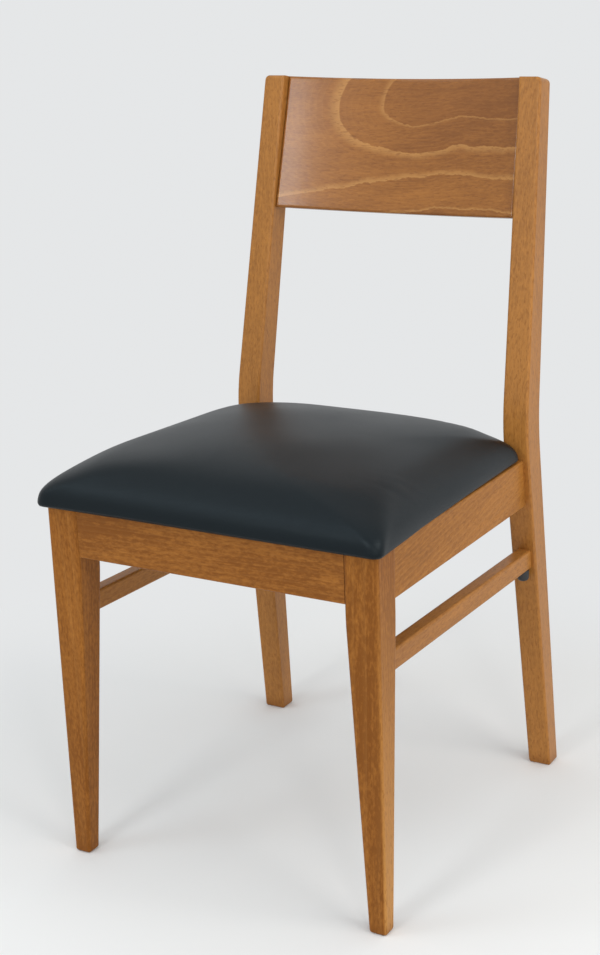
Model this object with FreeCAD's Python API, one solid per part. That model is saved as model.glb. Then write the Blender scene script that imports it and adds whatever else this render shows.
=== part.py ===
import FreeCAD, Part
import math
import os

# A restaurant chair: a beech frame with a bent backrest panel and a drop-on vinyl seat pad.
# Millimetres and degrees. +Z is up, the floor is Z = 0 and the sitter faces -Y.
# The origin is on the floor, in the middle of the chair's box.
# Depths below are measured from the front face of the front legs, towards the back.

# Overall sizes
total_height = 850.0
seat_frame_height = 427.5
seat_slope = 1.9

# Front legs: straight at the top, tapered on the inner and back faces below
front_span = 409.0
front_leg_width = 39.0
front_leg_depth = 40.0
front_foot_width = 21.0
front_foot_depth = 20.0
taper_start = 350.0
taper_bend_reach = 12.0
front_leg_edge = 4.0
front_foot_edge = 3.6

# Back legs: one bent piece each, deepest at the bend, closer together at the top
seat_depth = 387.0
bend_height = 453.0
foot_setback = 54.0
top_setback = 76.0
bend_reach = 35.0
back_foot_depth = 26.0
back_bend_depth = 38.0
back_top_depth = 29.5
back_foot_span = 420.0
back_bend_draw = 21.0
back_top_draw = 53.5
back_foot_width = 29.0
back_top_width = 27.5
back_leg_edge = 3.0
back_foot_edge = 2.8
post_top_round = 6.0

# Seat rails
rail_height = 58.5
rail_thickness = 22.0
rail_edge = 2.0
front_rail_recess = 2.0
side_rail_recess = 2.0
side_rail_back_recess = 7.4
back_rail_recess = 2.0
back_rail_lip = 9.0

# Side stretchers
stretcher_height = 24.0
stretcher_thickness = 18.0
stretcher_edge = 3.0
stretcher_underside = 287.5
stretcher_front_recess = 4.5
stretcher_back_recess = 6.0

# Backrest panel, bent round an axis that leans with it
panel_height = 161.0
panel_thickness = 14.0
panel_bow = 18.5
panel_drop = 1.5
panel_top_recess = 10.0
panel_bottom_recess = 3.5
panel_edge = 3.0

# Corner blocks and their screws
block_height = 36.0
block_thickness = 22.0
block_drop = 3.0
front_block_start = 33.0
block_screw_radius = 2.0
block_screw_length = 26.0
block_screw_grip = 9.0
block_screw_head_radius = 4.0
block_screw_head_height = 3.0
block_screw_access = 60.0

# Seat pad: vinyl skin, foam and board
pad_front_overhang = 6.8
pad_back_gap = 7.0
pad_side_overhang = 2.3
pad_back_inset = 5.5
pad_corner = 7.0
pad_corner_growth = 300.0
pad_roundest = 0.93
pad_bulge = 5.6
pad_tuck = 3.5
pad_bulge_height = 7.8
pad_height = 70.0
pad_squareness = 2.85
pad_steepest = 85.0
pad_side_slices = 4
pad_crown_slices = 9
pad_loft_degree = 3
pad_seat_gap = 0.3
skin = 1.2
soft_gap = 0.3
board_thickness = 10.0
board_inset = 6.0
hem_width = 46.0
dust_cover_thickness = 0.8
dust_cover_inset = 36.0

# Staples under the board
staple_inset = 41.0
staple_pitch = 38.0
staple_crown = 10.0
staple_wire = 0.7
staple_bite = 5.0

# Seat fixing screws
seat_screw_radius = 2.25
seat_screw_bite = 7.0
seat_screw_head_radius = 4.5
seat_screw_head_height = 3.5
seat_screw_share = 0.3
seat_screw_edge = 20.0

# Dowels
rail_dowel_radius = 5.0
rail_dowel_length = 40.0
rail_dowel_low = 10.0
rail_dowel_high = 34.0
back_dowel_rise = 12.5
stretcher_dowel_radius = 5.0
stretcher_dowel_length = 34.0
panel_dowel_radius = 4.0
panel_dowel_length = 36.0
panel_dowel_margin = 32.0

# Stacking buttons
button_radius = 7.0
button_height = 14.0
button_round = 5.0
button_stem_radius = 3.0
button_stem_length = 5.5
button_offset = 1.5
button_gap = 1.0

# Clearances, limits for picking edges, and a length past every piece
hole_gap = 0.1
hole_end_gap = 0.5
floor_tolerance = 0.1
upright_ratio = 2.0
beyond = 1200.0

slope_sine = math.sin(math.radians(seat_slope))
slope_cosine = math.cos(math.radians(seat_slope))
slope_rise = math.tan(math.radians(seat_slope))
back_bend_span = back_foot_span - back_bend_draw
back_top_span = back_foot_span - back_top_draw
upper_rise = total_height - bend_height
upper_lean = math.atan2(top_setback, upper_rise)
seat_normal = FreeCAD.Vector(0, slope_sine, slope_cosine)

# Ends of the backrest panel's front face, between the leaning posts
panel_top = total_height - panel_drop
panel_bottom = panel_top - panel_height * math.cos(upper_lean)
panel_top_depth = seat_depth + top_setback * (panel_top - bend_height) / upper_rise + panel_top_recess
panel_bottom_depth = (seat_depth + top_setback * (panel_bottom - bend_height) / upper_rise
                      + panel_bottom_recess)
panel_lean = math.atan2(panel_top_depth - panel_bottom_depth, panel_top - panel_bottom)

# The chair's front and back limits set where the front of the front legs lies
front_reach = (pad_front_overhang + pad_bulge) * slope_cosine - pad_bulge_height * slope_sine
post_reach = seat_depth + top_setback + back_top_depth * math.cos(upper_lean)
panel_reach = panel_top_depth + (panel_bow + panel_thickness) * math.cos(panel_lean)
leg_front = (front_reach - max(post_reach, panel_reach)) / 2


def at(x, depth, z):
    """A point at a depth behind the front face of the front legs."""
    return FreeCAD.Vector(x, leg_front + depth, z)


def blend(start, end, share):
    """The value a share of the way from start to end."""
    return start + (end - start) * share


def frame_top(depth):
    """Height of the seat frame's top at a depth."""
    return seat_frame_height - slope_rise * depth


def post_front(z):
    """Depth of a back leg's front face below the bend."""
    return seat_depth + foot_setback * (1 - z / bend_height)


def post_inner(z):
    """Half the clear width between the back legs at a height."""
    foot = back_foot_span / 2 - back_foot_width
    top = back_top_span / 2 - back_top_width
    return blend(foot, top, z / total_height)


def post_outer(z):
    """Half the width over the back legs at a height below the bend."""
    return blend(back_foot_span / 2, back_bend_span / 2, z / bend_height)


def front_leg_back(z):
    """Depth of a front leg's back face on its taper."""
    return blend(front_foot_depth, front_leg_depth, z / taper_start)


def side_rail_outer(depth):
    """Half width over the side rails at a depth."""
    share = (depth - front_leg_depth) / (seat_depth - front_leg_depth)
    back = post_outer(frame_top(seat_depth)) - side_rail_back_recess
    return blend(front_span / 2 - side_rail_recess, back, share)


def side_rail_inner(depth):
    return side_rail_outer(depth) - rail_thickness


def stretcher_outer(depth):
    """Half width over the side stretchers at a depth."""
    share = (depth - front_leg_depth) / (seat_depth - front_leg_depth)
    back = post_outer(stretcher_bottom(seat_depth)) - stretcher_back_recess
    return blend(front_span / 2 - stretcher_front_recess, back, share)


def stretcher_bottom(depth):
    return stretcher_underside - slope_rise * (depth - front_leg_depth)


def polygon(points):
    return Part.Face(Part.makePolygon(points + points[:1]))


def prism_across(outline, x_from, x_to):
    """A side view outline of (depth, z) points, carried from x_from to x_to."""
    face = polygon([at(x_from, depth, z) for depth, z in outline])
    return face.extrude(FreeCAD.Vector(x_to - x_from, 0, 0))


def prism_along(outline, depth_from, depth_to):
    """A front view outline of (x, z) points, carried from one depth to another."""
    face = polygon([at(x, depth_from, z) for x, z in outline])
    return face.extrude(FreeCAD.Vector(0, depth_to - depth_from, 0))


def prism_up(outline, z_from, z_to):
    """A plan outline of (x, depth) points, carried from z_from to z_to."""
    face = polygon([at(x, depth, z_from) for x, depth in outline])
    return face.extrude(FreeCAD.Vector(0, 0, z_to - z_from))


def bent_run(start, corner, end, reach):
    """Two straight runs that meet at a corner, joined by a tangent arc."""
    to_start = (start - corner).normalize()
    to_end = (end - corner).normalize()
    half = to_start.getAngle(to_end) / 2
    middle_way = (to_start + to_end).normalize()
    first = corner + to_start * reach
    last = corner + to_end * reach
    middle = corner + middle_way * (reach / math.cos(half) - reach * math.tan(half))
    arc = Part.Arc(first, middle, last).toShape()
    return [Part.makeLine(start, first), arc, Part.makeLine(last, end)]


def carried(edges, direction):
    """The closed outline of the edges, carried along a direction."""
    return Part.Face(Part.Wire(edges)).extrude(direction)


def long_edges(shape, least):
    return [edge for edge in shape.Edges if edge.Length > least]


def floor_edges(shape):
    return [edge for edge in shape.Edges if edge.BoundBox.ZMax < floor_tolerance]


def upright_edges(shape):
    """The edges that run up a leg: much taller than they are wide."""
    found = []
    for edge in shape.Edges:
        box = edge.BoundBox
        if box.ZLength > upright_ratio * max(box.XLength, box.YLength):
            found.append(edge)
    return found


def rod(start, direction, radius, length):
    return Part.makeCylinder(radius, length, start, direction)


def dowel(middle, direction, radius, length):
    way = FreeCAD.Vector(direction).normalize()
    return rod(middle - way * (length / 2), way, radius, length)


def dowel_hole(middle, direction, radius, length):
    return dowel(middle, direction, radius + hole_gap, length + 2 * hole_end_gap)


def mirrored(shape):
    return shape.mirror(FreeCAD.Vector(0, 0, 0), FreeCAD.Vector(1, 0, 0))


def both_sides(shapes):
    return shapes + [mirrored(shape) for shape in shapes]


# Dowel places on the right side: middle, direction, radius and length
def front_rail_dowel_places():
    x = front_span / 2 - front_leg_width
    depth = front_rail_recess + rail_thickness / 2
    foot = seat_frame_height - rail_height
    way = FreeCAD.Vector(1, 0, 0)
    heights = [foot + rail_dowel_low, foot + rail_dowel_high]
    return [(at(x, depth, z), way, rail_dowel_radius, rail_dowel_length) for z in heights]


def side_rail_way():
    run = side_rail_outer(seat_depth) - side_rail_outer(front_leg_depth)
    return FreeCAD.Vector(run, seat_depth - front_leg_depth, 0)


def side_rail_dowel_places():
    places = []
    for height in [rail_dowel_low, rail_dowel_high]:
        z_front = frame_top(front_leg_depth) - rail_height + height
        x_front = side_rail_outer(front_leg_depth) - rail_thickness / 2
        places.append((at(x_front, front_leg_depth, z_front), side_rail_way()))
        z_back = frame_top(seat_depth) - rail_height + height
        depth_back = post_front(z_back)
        x_back = side_rail_outer(depth_back) - rail_thickness / 2
        places.append((at(x_back, depth_back, z_back), side_rail_way()))
    return [(spot, way, rail_dowel_radius, rail_dowel_length) for spot, way in places]


def back_rail_front():
    return post_front(frame_top(seat_depth) - rail_height) + back_rail_recess


def back_rail_bottom():
    return frame_top(back_rail_front()) - rail_height


def back_rail_dowel_places():
    depth = back_rail_front() + rail_thickness / 2
    way = FreeCAD.Vector(1, 0, 0)
    heights = [back_rail_bottom() + rail_dowel_low + back_dowel_rise,
               back_rail_bottom() + rail_dowel_high + back_dowel_rise]
    spots = [at(post_inner(z), depth, z) for z in heights]
    return [(spot, way, rail_dowel_radius, rail_dowel_length) for spot in spots]


def stretcher_dowel_places():
    run = stretcher_outer(seat_depth) - stretcher_outer(front_leg_depth)
    way = FreeCAD.Vector(run, seat_depth - front_leg_depth, 0)
    places = []
    for depth in [front_leg_back(stretcher_underside), post_front(stretcher_bottom(seat_depth))]:
        x = stretcher_outer(depth) - stretcher_thickness / 2
        z = stretcher_bottom(depth) + stretcher_height / 2
        places.append((at(x, depth, z), way, stretcher_dowel_radius, stretcher_dowel_length))
    return places


def panel_frame():
    """Bottom middle of the panel's front between its ends, its upward and its backward way."""
    up = FreeCAD.Vector(0, math.sin(panel_lean), math.cos(panel_lean))
    back = FreeCAD.Vector(0, math.cos(panel_lean), -math.sin(panel_lean))
    return at(0, panel_top_depth, panel_top) - up * panel_height, up, back


def panel_radius(half_chord):
    return (half_chord ** 2 + panel_bow ** 2) / (2 * panel_bow)


def panel_dowel_places():
    base, up, back = panel_frame()
    places = []
    for height in [panel_dowel_margin, panel_height - panel_dowel_margin]:
        level = base + up * height
        x = post_inner(level.z)
        turn = math.asin(x / panel_radius(x))
        way = FreeCAD.Vector(math.cos(turn), 0, 0) - back * math.sin(turn)
        spot = level + FreeCAD.Vector(x, 0, 0) + back * (panel_thickness / 2)
        places.append((spot, way, panel_dowel_radius, panel_dowel_length))
    return places


def holes_for(places):
    return [dowel_hole(*place) for place in places]


def dowels_for(places):
    return Part.makeCompound(both_sides([dowel(*place) for place in places]))


# Corner blocks: plan corner of the frame, way along each rail, and where the block starts
def front_corner():
    depth = front_rail_recess + rail_thickness
    return side_rail_inner(depth), depth


def back_corner():
    depth = back_rail_front()
    return side_rail_inner(depth), depth


def block_end():
    return block_thickness * math.sqrt(2)


def back_block_start():
    """Far enough from the back corner for the seat screws to reach the board."""
    screw_depth = seat_depth - pad_back_gap - board_inset - seat_screw_edge
    return (back_rail_front() - screw_depth) / (1 - seat_screw_share) - block_end() / 2


def block_plan(corner, start, forward):
    """A bar across a corner of the frame, from the cross rail to the side rail."""
    x, depth = corner
    near = start
    far = start + block_end()
    near_depth = depth + forward * near
    far_depth = depth + forward * far
    side_near = (side_rail_inner(near_depth), near_depth)
    side_far = (side_rail_inner(far_depth), far_depth)
    return [(x - near, depth), (x - far, depth), side_far, side_near]


def seat_layer(bottom, top):
    """The space between two levels measured from the seat frame's top."""
    outline = [
        (-beyond, frame_top(-beyond) + bottom),
        (beyond, frame_top(beyond) + bottom),
        (beyond, frame_top(beyond) + top),
        (-beyond, frame_top(-beyond) + top),
    ]
    return prism_across(outline, -beyond, beyond)


def block_screws(corner, start, forward):
    """Head seat and way of a block's two screws: into the cross rail and the side rail."""
    x, depth = corner
    middle = start + block_end() / 2
    side_depth = depth + forward * middle
    drop = block_drop + block_height / 2
    cross_spot = at(x - middle, depth + forward * block_screw_grip, frame_top(depth) - drop)
    side_x = side_rail_inner(side_depth) - block_screw_grip
    side_spot = at(side_x, side_depth, frame_top(side_depth) - drop)
    return [
        (cross_spot, FreeCAD.Vector(0, -forward, 0)),
        (side_spot, FreeCAD.Vector(1, 0, 0)),
    ]


def block_screw(spot, way):
    head = rod(spot - way * block_screw_head_height, way,
               block_screw_head_radius, block_screw_head_height)
    return head.fuse(rod(spot, way, block_screw_radius, block_screw_length)).removeSplitter()


def block_screw_room(spot, way):
    """Counterbore for the head and a hole for the shank."""
    bore = rod(spot - way * block_screw_access, way,
               block_screw_head_radius + hole_gap, block_screw_access)
    shank = rod(spot, way, block_screw_radius + hole_gap, block_screw_length + hole_end_gap)
    return [bore, shank]


def corners():
    return [
        ("front", front_corner(), front_block_start, 1),
        ("back", back_corner(), back_block_start(), -1),
    ]


def seat_screw_spot(corner, start, forward):
    """Where a seat screw leaves the underside of its block, nearer to the side rail."""
    x, depth = corner
    middle = start + block_end() / 2
    share = seat_screw_share * middle
    spot_depth = depth + forward * (middle - share)
    return at(x - share, spot_depth, frame_top(spot_depth) - block_drop - block_height)


def seat_screw_length():
    to_board = block_height + block_drop + pad_seat_gap + skin
    return to_board * slope_cosine + seat_screw_bite


def seat_screw(spot):
    head = rod(spot - seat_normal * seat_screw_head_height, seat_normal,
               seat_screw_head_radius, seat_screw_head_height)
    shank = rod(spot, seat_normal, seat_screw_radius, seat_screw_length())
    return head.fuse(shank).removeSplitter()


def seat_screw_holes():
    holes = []
    for _, corner, start, forward in corners():
        spot = seat_screw_spot(corner, start, forward)
        length = seat_screw_length() + hole_end_gap
        holes.append(rod(spot, seat_normal, seat_screw_radius + hole_gap, length))
    return both_sides(holes)


# Wooden pieces, made on the right side and mirrored
def front_leg():
    outer = front_span / 2
    inner = outer - front_leg_width
    top = frame_top(0)
    front_view = [
        Part.makeLine(at(outer, 0, 0), at(outer, 0, top)),
        Part.makeLine(at(outer, 0, top), at(inner, 0, top)),
    ]
    front_view += bent_run(at(inner, 0, top), at(inner, 0, taper_start),
                           at(outer - front_foot_width, 0, 0), taper_bend_reach)
    front_view.append(Part.makeLine(at(outer - front_foot_width, 0, 0), at(outer, 0, 0)))
    back_top = frame_top(front_leg_depth)
    side_view = [
        Part.makeLine(at(0, 0, 0), at(0, 0, top)),
        Part.makeLine(at(0, 0, top), at(0, front_leg_depth, back_top)),
    ]
    side_view += bent_run(at(0, front_leg_depth, back_top), at(0, front_leg_depth, taper_start),
                          at(0, front_foot_depth, 0), taper_bend_reach)
    side_view.append(Part.makeLine(at(0, front_foot_depth, 0), at(0, 0, 0)))
    leg = carried(side_view, FreeCAD.Vector(front_span, 0, 0)).common(
        carried(front_view, FreeCAD.Vector(0, front_span, 0)))
    leg = leg.makeFillet(front_leg_edge, upright_edges(leg))
    leg = leg.makeFillet(front_foot_edge, floor_edges(leg))
    holes = holes_for(front_rail_dowel_places() + side_rail_dowel_places()
                      + stretcher_dowel_places())
    return leg.cut(holes)


def back_leg():
    lean_across = FreeCAD.Vector(0, math.cos(upper_lean), -math.sin(upper_lean))
    top_front = at(0, seat_depth + top_setback, total_height)
    top_back = top_front + lean_across * back_top_depth
    foot_front = at(0, seat_depth + foot_setback, 0)
    foot_back = at(0, seat_depth + foot_setback + back_foot_depth, 0)
    side_view = bent_run(foot_front, at(0, seat_depth, bend_height), top_front, bend_reach)
    side_view.append(Part.makeLine(top_front, top_back))
    side_view += bent_run(top_back, at(0, seat_depth + back_bend_depth, bend_height),
                          foot_back, bend_reach)
    side_view.append(Part.makeLine(foot_back, foot_front))
    inner_foot = at(post_inner(0), 0, 0)
    inner_top = at(post_inner(total_height), 0, total_height)
    outer_top = at(back_top_span / 2, 0, total_height)
    front_view = bent_run(at(back_foot_span / 2, 0, 0), at(back_bend_span / 2, 0, bend_height),
                          outer_top, bend_reach)
    front_view.append(Part.makeLine(outer_top, inner_top))
    front_view.append(Part.makeLine(inner_top, inner_foot))
    front_view.append(Part.makeLine(inner_foot, at(back_foot_span / 2, 0, 0)))
    leg = carried(side_view, FreeCAD.Vector(back_foot_span, 0, 0)).common(
        carried(front_view, FreeCAD.Vector(0, beyond, 0)))
    leg = rounded_post(leg)
    holes = holes_for(side_rail_dowel_places() + back_rail_dowel_places()
                      + stretcher_dowel_places() + panel_dowel_places())
    return leg.cut(holes)


def rounded_post(leg):
    """Round the top's outer edge most, then every long edge and the foot."""
    outer_top = max(leg.Edges, key=lambda edge: edge.CenterOfMass.z + edge.CenterOfMass.x)
    leg = leg.makeFillet(post_top_round, [outer_top])
    leg = leg.makeFillet(back_leg_edge, upright_edges(leg))
    return leg.makeFillet(back_foot_edge, floor_edges(leg))


def front_rail():
    half = front_span / 2 - front_leg_width
    back = front_rail_recess + rail_thickness
    bottom = seat_frame_height - rail_height
    side_view = [
        (front_rail_recess, bottom),
        (front_rail_recess, frame_top(front_rail_recess)),
        (back, frame_top(back)),
        (back, bottom),
    ]
    rail = prism_across(side_view, -half, half)
    rail = rail.makeFillet(rail_edge, long_edges(rail, half))
    holes = holes_for(front_rail_dowel_places())
    screws = block_screws(front_corner(), front_block_start, 1)
    holes += block_screw_room(*screws[0])
    return rail.cut(both_sides(holes))


def back_rail():
    """Stands a lip above the other rails, so that nothing shows below the pad from behind."""
    top = frame_top(back_rail_front()) + back_rail_lip
    bottom = back_rail_bottom()
    front_view = [
        (-post_inner(bottom), bottom),
        (post_inner(bottom), bottom),
        (post_inner(top), top),
        (-post_inner(top), top),
    ]
    rail = prism_along(front_view, back_rail_front(), back_rail_front() + rail_thickness)
    rail = rail.makeFillet(rail_edge, long_edges(rail, post_inner(top)))
    holes = holes_for(back_rail_dowel_places())
    screws = block_screws(back_corner(), back_block_start(), -1)
    holes += block_screw_room(*screws[0])
    return rail.cut(both_sides(holes))


def side_bar(outer, thickness, outline):
    """A bar with a skewed plan, between its outer face and a face one thickness inside."""
    start = 0
    end = seat_depth + foot_setback
    plan = [
        (outer(start), start),
        (outer(end), end),
        (outer(end) - thickness, end),
        (outer(start) - thickness, start),
    ]
    return prism_up(plan, 0, total_height).common(prism_across(outline, 0, front_span))


def side_rail():
    top_back = frame_top(seat_depth)
    bottom_back = top_back - rail_height
    outline = [
        (front_leg_depth, frame_top(front_leg_depth) - rail_height),
        (front_leg_depth, frame_top(front_leg_depth)),
        (post_front(top_back), frame_top(post_front(top_back))),
        (post_front(bottom_back), frame_top(post_front(bottom_back)) - rail_height),
    ]
    rail = side_bar(side_rail_outer, rail_thickness, outline)
    rail = rail.makeFillet(rail_edge, long_edges(rail, seat_depth / 2))
    holes = holes_for(side_rail_dowel_places())
    for _, corner, start, forward in corners():
        holes += block_screw_room(*block_screws(corner, start, forward)[1])
    return rail.cut(holes)


def button_spot():
    """Middle of a button on the underside of the right stretcher, close to the back leg."""
    depth = post_front(stretcher_bottom(seat_depth)) - button_radius - button_gap
    x = stretcher_outer(depth) - stretcher_thickness / 2 + button_offset
    return at(x, depth, stretcher_bottom(depth))


def stretcher():
    front_low = front_leg_back(stretcher_underside)
    front_high = front_leg_back(stretcher_underside + stretcher_height)
    back_low = post_front(stretcher_bottom(seat_depth))
    back_high = post_front(stretcher_bottom(seat_depth) + stretcher_height)
    outline = [
        (front_low, stretcher_bottom(front_low)),
        (front_high, stretcher_bottom(front_high) + stretcher_height),
        (back_high, stretcher_bottom(back_high) + stretcher_height),
        (back_low, stretcher_bottom(back_low)),
    ]
    bar = side_bar(stretcher_outer, stretcher_thickness, outline)
    bar = bar.makeFillet(stretcher_edge, long_edges(bar, seat_depth / 2))
    holes = holes_for(stretcher_dowel_places())
    holes.append(rod(button_spot(), seat_normal, button_stem_radius + hole_gap,
                     button_stem_length + hole_end_gap))
    return bar.cut(holes)


def stacking_button():
    spot = button_spot()
    head = rod(spot - seat_normal * button_height, seat_normal, button_radius, button_height)
    lowest = min(head.Edges, key=lambda edge: edge.CenterOfMass.z)
    head = head.makeFillet(button_round, [lowest])
    stem = rod(spot, seat_normal, button_stem_radius, button_stem_length)
    return head.fuse(stem).removeSplitter()


def backrest_panel():
    base, up, back = panel_frame()
    half = post_inner(base.z)
    inner_radius = panel_radius(half)
    centre = base + back * (panel_bow - inner_radius)
    spread = math.asin((half + panel_thickness) / inner_radius)

    def on_arc(radius, turn):
        return centre + FreeCAD.Vector(radius * math.sin(turn), 0, 0) + back * (radius * math.cos(turn))

    def arc(radius):
        return Part.Arc(on_arc(radius, -spread), on_arc(radius, 0), on_arc(radius, spread)).toShape()

    outer_radius = inner_radius + panel_thickness
    right = Part.makeLine(on_arc(inner_radius, spread), on_arc(outer_radius, spread))
    left = Part.makeLine(on_arc(outer_radius, -spread), on_arc(inner_radius, -spread))
    panel = carried([arc(inner_radius), right, arc(outer_radius), left], up * panel_height)
    between_posts = [
        (-post_inner(0), 0),
        (post_inner(0), 0),
        (post_inner(total_height), total_height),
        (-post_inner(total_height), total_height),
    ]
    panel = panel.common(prism_along(between_posts, 0, beyond))
    panel = panel.makeFillet(panel_edge, long_edges(panel, post_inner(total_height)))
    return panel.cut(both_sides(holes_for(panel_dowel_places())))


def corner_block(corner, start, forward):
    plan = block_plan(corner, start, forward)
    block = prism_up(plan, 0, total_height).common(
        seat_layer(-block_drop - block_height, -block_drop))
    holes = seat_screw_holes()
    for spot, way in block_screws(corner, start, forward):
        holes += block_screw_room(spot, way)
    return block.cut(holes)


# Seat pad: shapes are made level, with the frame's top as zero, then tilted onto the frame
def seated(shape):
    placed = shape.copy()
    placed.rotate(FreeCAD.Vector(0, 0, 0), FreeCAD.Vector(1, 0, 0), -seat_slope)
    placed.translate(at(0, 0, seat_frame_height))
    return placed


def pad_middle():
    return (seat_depth - pad_back_gap - pad_front_overhang) / 2


def pad_half_front():
    return front_span / 2 + pad_side_overhang


def pad_half_back():
    return side_rail_outer(seat_depth) - pad_back_inset


def pad_outline(grow, share, corner, z):
    """The pad's plan outline, grown all round, shrunk to a share of itself, at a height."""
    half_depth = pad_middle() + pad_front_overhang
    front = pad_middle() - (half_depth + grow) * share
    back = pad_middle() + (half_depth + grow) * share
    half_front = (pad_half_front() + grow) * share
    half_back = (pad_half_back() + grow) * share
    points = [(half_front, front), (half_back, back), (-half_back, back), (-half_front, front)]
    return rounded_outline([FreeCAD.Vector(x, depth, z) for x, depth in points], corner)


def pad_corner_radius(grow, share):
    """The plan radius of the pad's corners, which are rounder towards the crown."""
    half_depth = pad_middle() + pad_front_overhang + grow
    return min(pad_corner + grow + pad_corner_growth * (1 - share), pad_roundest * half_depth * share)


def rounded_outline(points, radius):
    """A closed outline of straight sides with a round corner at each point."""
    count = len(points)
    runs = []
    for index in range(count):
        corner = points[index]
        before = (points[index - 1] - corner).normalize()
        after = (points[(index + 1) % count] - corner).normalize()
        half = before.getAngle(after) / 2
        reach = radius / math.tan(half)
        bisector = (before + after).normalize()
        middle = corner + bisector * (radius / math.sin(half) - radius)
        runs.append((corner + before * reach, middle, corner + after * reach))
    edges = []
    for index in range(count):
        first, middle, last = runs[index]
        edges.append(Part.Arc(first, middle, last).toShape())
        edges.append(Part.makeLine(last, runs[(index + 1) % count][0]))
    return Part.Wire(edges)


def pad_form(inside):
    """The pad's soft form, a distance inside its outer skin: tucked under, bulged and crowned."""
    bottom = pad_seat_gap + inside
    slices = []
    for index in range(pad_side_slices):
        share = index / pad_side_slices
        z = blend(bottom, pad_bulge_height, share)
        grow = pad_bulge - (pad_bulge + pad_tuck) * (1 - share) ** 2
        slices.append(pad_outline(grow - inside, 1, pad_corner_radius(grow - inside, 1), z))
    crown = pad_height - inside - pad_bulge_height
    for index in range(pad_crown_slices):
        turn = math.radians(pad_steepest * index / (pad_crown_slices - 1))
        share = math.cos(turn) ** (2 / pad_squareness)
        z = pad_bulge_height + crown * math.sin(turn)
        corner = pad_corner_radius(pad_bulge - inside, share)
        slices.append(pad_outline(pad_bulge - inside, share, corner, z))
    return Part.makeLoft(slices, True, False, False, pad_loft_degree)


def pad_layer(inset, bottom, top):
    """A flat layer of the pad with its edge a distance inside the pad's outline."""
    outline = pad_outline(-inset, 1, pad_corner, bottom)
    return Part.Face(outline).extrude(FreeCAD.Vector(0, 0, top - bottom))


def board_bottom():
    return pad_seat_gap + skin


def staple_spots():
    """Middle and turn of each staple, spaced evenly along the four sides."""
    half_depth = pad_middle() + pad_front_overhang - staple_inset
    front = pad_middle() - half_depth
    back = pad_middle() + half_depth
    half_front = pad_half_front() - staple_inset
    half_back = pad_half_back() - staple_inset
    ring = [(half_front, front), (half_back, back), (-half_back, back), (-half_front, front)]
    spots = []
    for index in range(len(ring)):
        start = FreeCAD.Vector(*ring[index], 0)
        end = FreeCAD.Vector(*ring[(index + 1) % len(ring)], 0)
        run = end - start
        usable = run.Length - 2 * pad_corner
        count = int(usable // staple_pitch) + 1
        turn = math.degrees(math.atan2(run.y, run.x))
        for step in range(count):
            share = (pad_corner + usable * (step + 0.5) / count) / run.Length
            spots.append((start + run * share, turn))
    return spots


def staple(grow):
    """A wire staple with its crown under the hem, grown for the slot that it is driven into."""
    wire = staple_wire + 2 * grow
    low = pad_seat_gap - dust_cover_thickness - staple_wire
    high = board_bottom() + staple_bite + grow
    crown = Part.makeBox(staple_crown + 2 * grow, wire, wire)
    crown.translate(FreeCAD.Vector(-staple_crown / 2 - grow, -wire / 2, low - grow))
    leg = Part.makeBox(wire, wire, high - low + grow)
    leg.translate(FreeCAD.Vector(-staple_crown / 2 - grow, -wire / 2, low - grow))
    other = leg.copy()
    other.translate(FreeCAD.Vector(staple_crown - staple_wire, 0, 0))
    return crown.fuse([leg, other]).removeSplitter()


def staples(grow):
    placed = []
    for spot, turn in staple_spots():
        one = staple(grow)
        one.rotate(FreeCAD.Vector(0, 0, 0), FreeCAD.Vector(0, 0, 1), turn)
        one.translate(spot)
        placed.append(seated(one))
    return placed


def seat_cover():
    shell = pad_form(0).cut(pad_form(skin))
    opening = pad_layer(hem_width, 0, pad_bulge_height)
    return seated(shell.cut(opening)).cut(seat_screw_holes() + staples(hole_gap))


def seat_board():
    board = pad_layer(board_inset, board_bottom(), board_bottom() + board_thickness)
    return seated(board).cut(seat_screw_holes() + staples(hole_gap))


def seat_foam():
    above_board = board_bottom() + board_thickness + soft_gap
    room = pad_layer(board_inset - soft_gap, 0, above_board)
    return seated(pad_form(skin + soft_gap).cut(room))


def dust_cover():
    sheet = pad_layer(dust_cover_inset, pad_seat_gap - dust_cover_thickness, pad_seat_gap)
    return seated(sheet).cut(seat_screw_holes() + staples(hole_gap))


def all_pieces():
    pieces = {
        "front_rail": front_rail(),
        "back_rail": back_rail(),
        "backrest_panel": backrest_panel(),
        "seat_board": seat_board(),
        "seat_foam": seat_foam(),
        "seat_cover": seat_cover(),
        "dust_cover": dust_cover(),
        "cover_staples": Part.makeCompound(staples(0)),
        "front_rail_dowels": dowels_for(front_rail_dowel_places()),
        "side_rail_dowels": dowels_for(side_rail_dowel_places()),
        "back_rail_dowels": dowels_for(back_rail_dowel_places()),
        "stretcher_dowels": dowels_for(stretcher_dowel_places()),
        "backrest_dowels": dowels_for(panel_dowel_places()),
    }
    pairs = {
        "front_leg": front_leg(),
        "back_leg": back_leg(),
        "side_rail": side_rail(),
        "side_stretcher": stretcher(),
        "stacking_button": stacking_button(),
    }
    block_fixings = []
    seat_fixings = []
    for name, corner, start, forward in corners():
        pairs["corner_block_" + name] = corner_block(corner, start, forward)
        block_fixings += [block_screw(*place) for place in block_screws(corner, start, forward)]
        seat_fixings.append(seat_screw(seat_screw_spot(corner, start, forward)))
    for name, right in pairs.items():
        pieces[name + "_right"] = right
        pieces[name + "_left"] = mirrored(right)
    pieces["corner_block_screws"] = Part.makeCompound(both_sides(block_fixings))
    pieces["seat_fixing_screws"] = Part.makeCompound(both_sides(seat_fixings))
    return pieces


def main():
    os.makedirs("parts", exist_ok=True)
    for name, shape in all_pieces().items():
        shape.exportStep("parts/" + name + ".step")
        count = len(shape.Solids)
        print(name, "solids", count, "valid", shape.isValid(), "volume", round(shape.Volume))


main()
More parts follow.
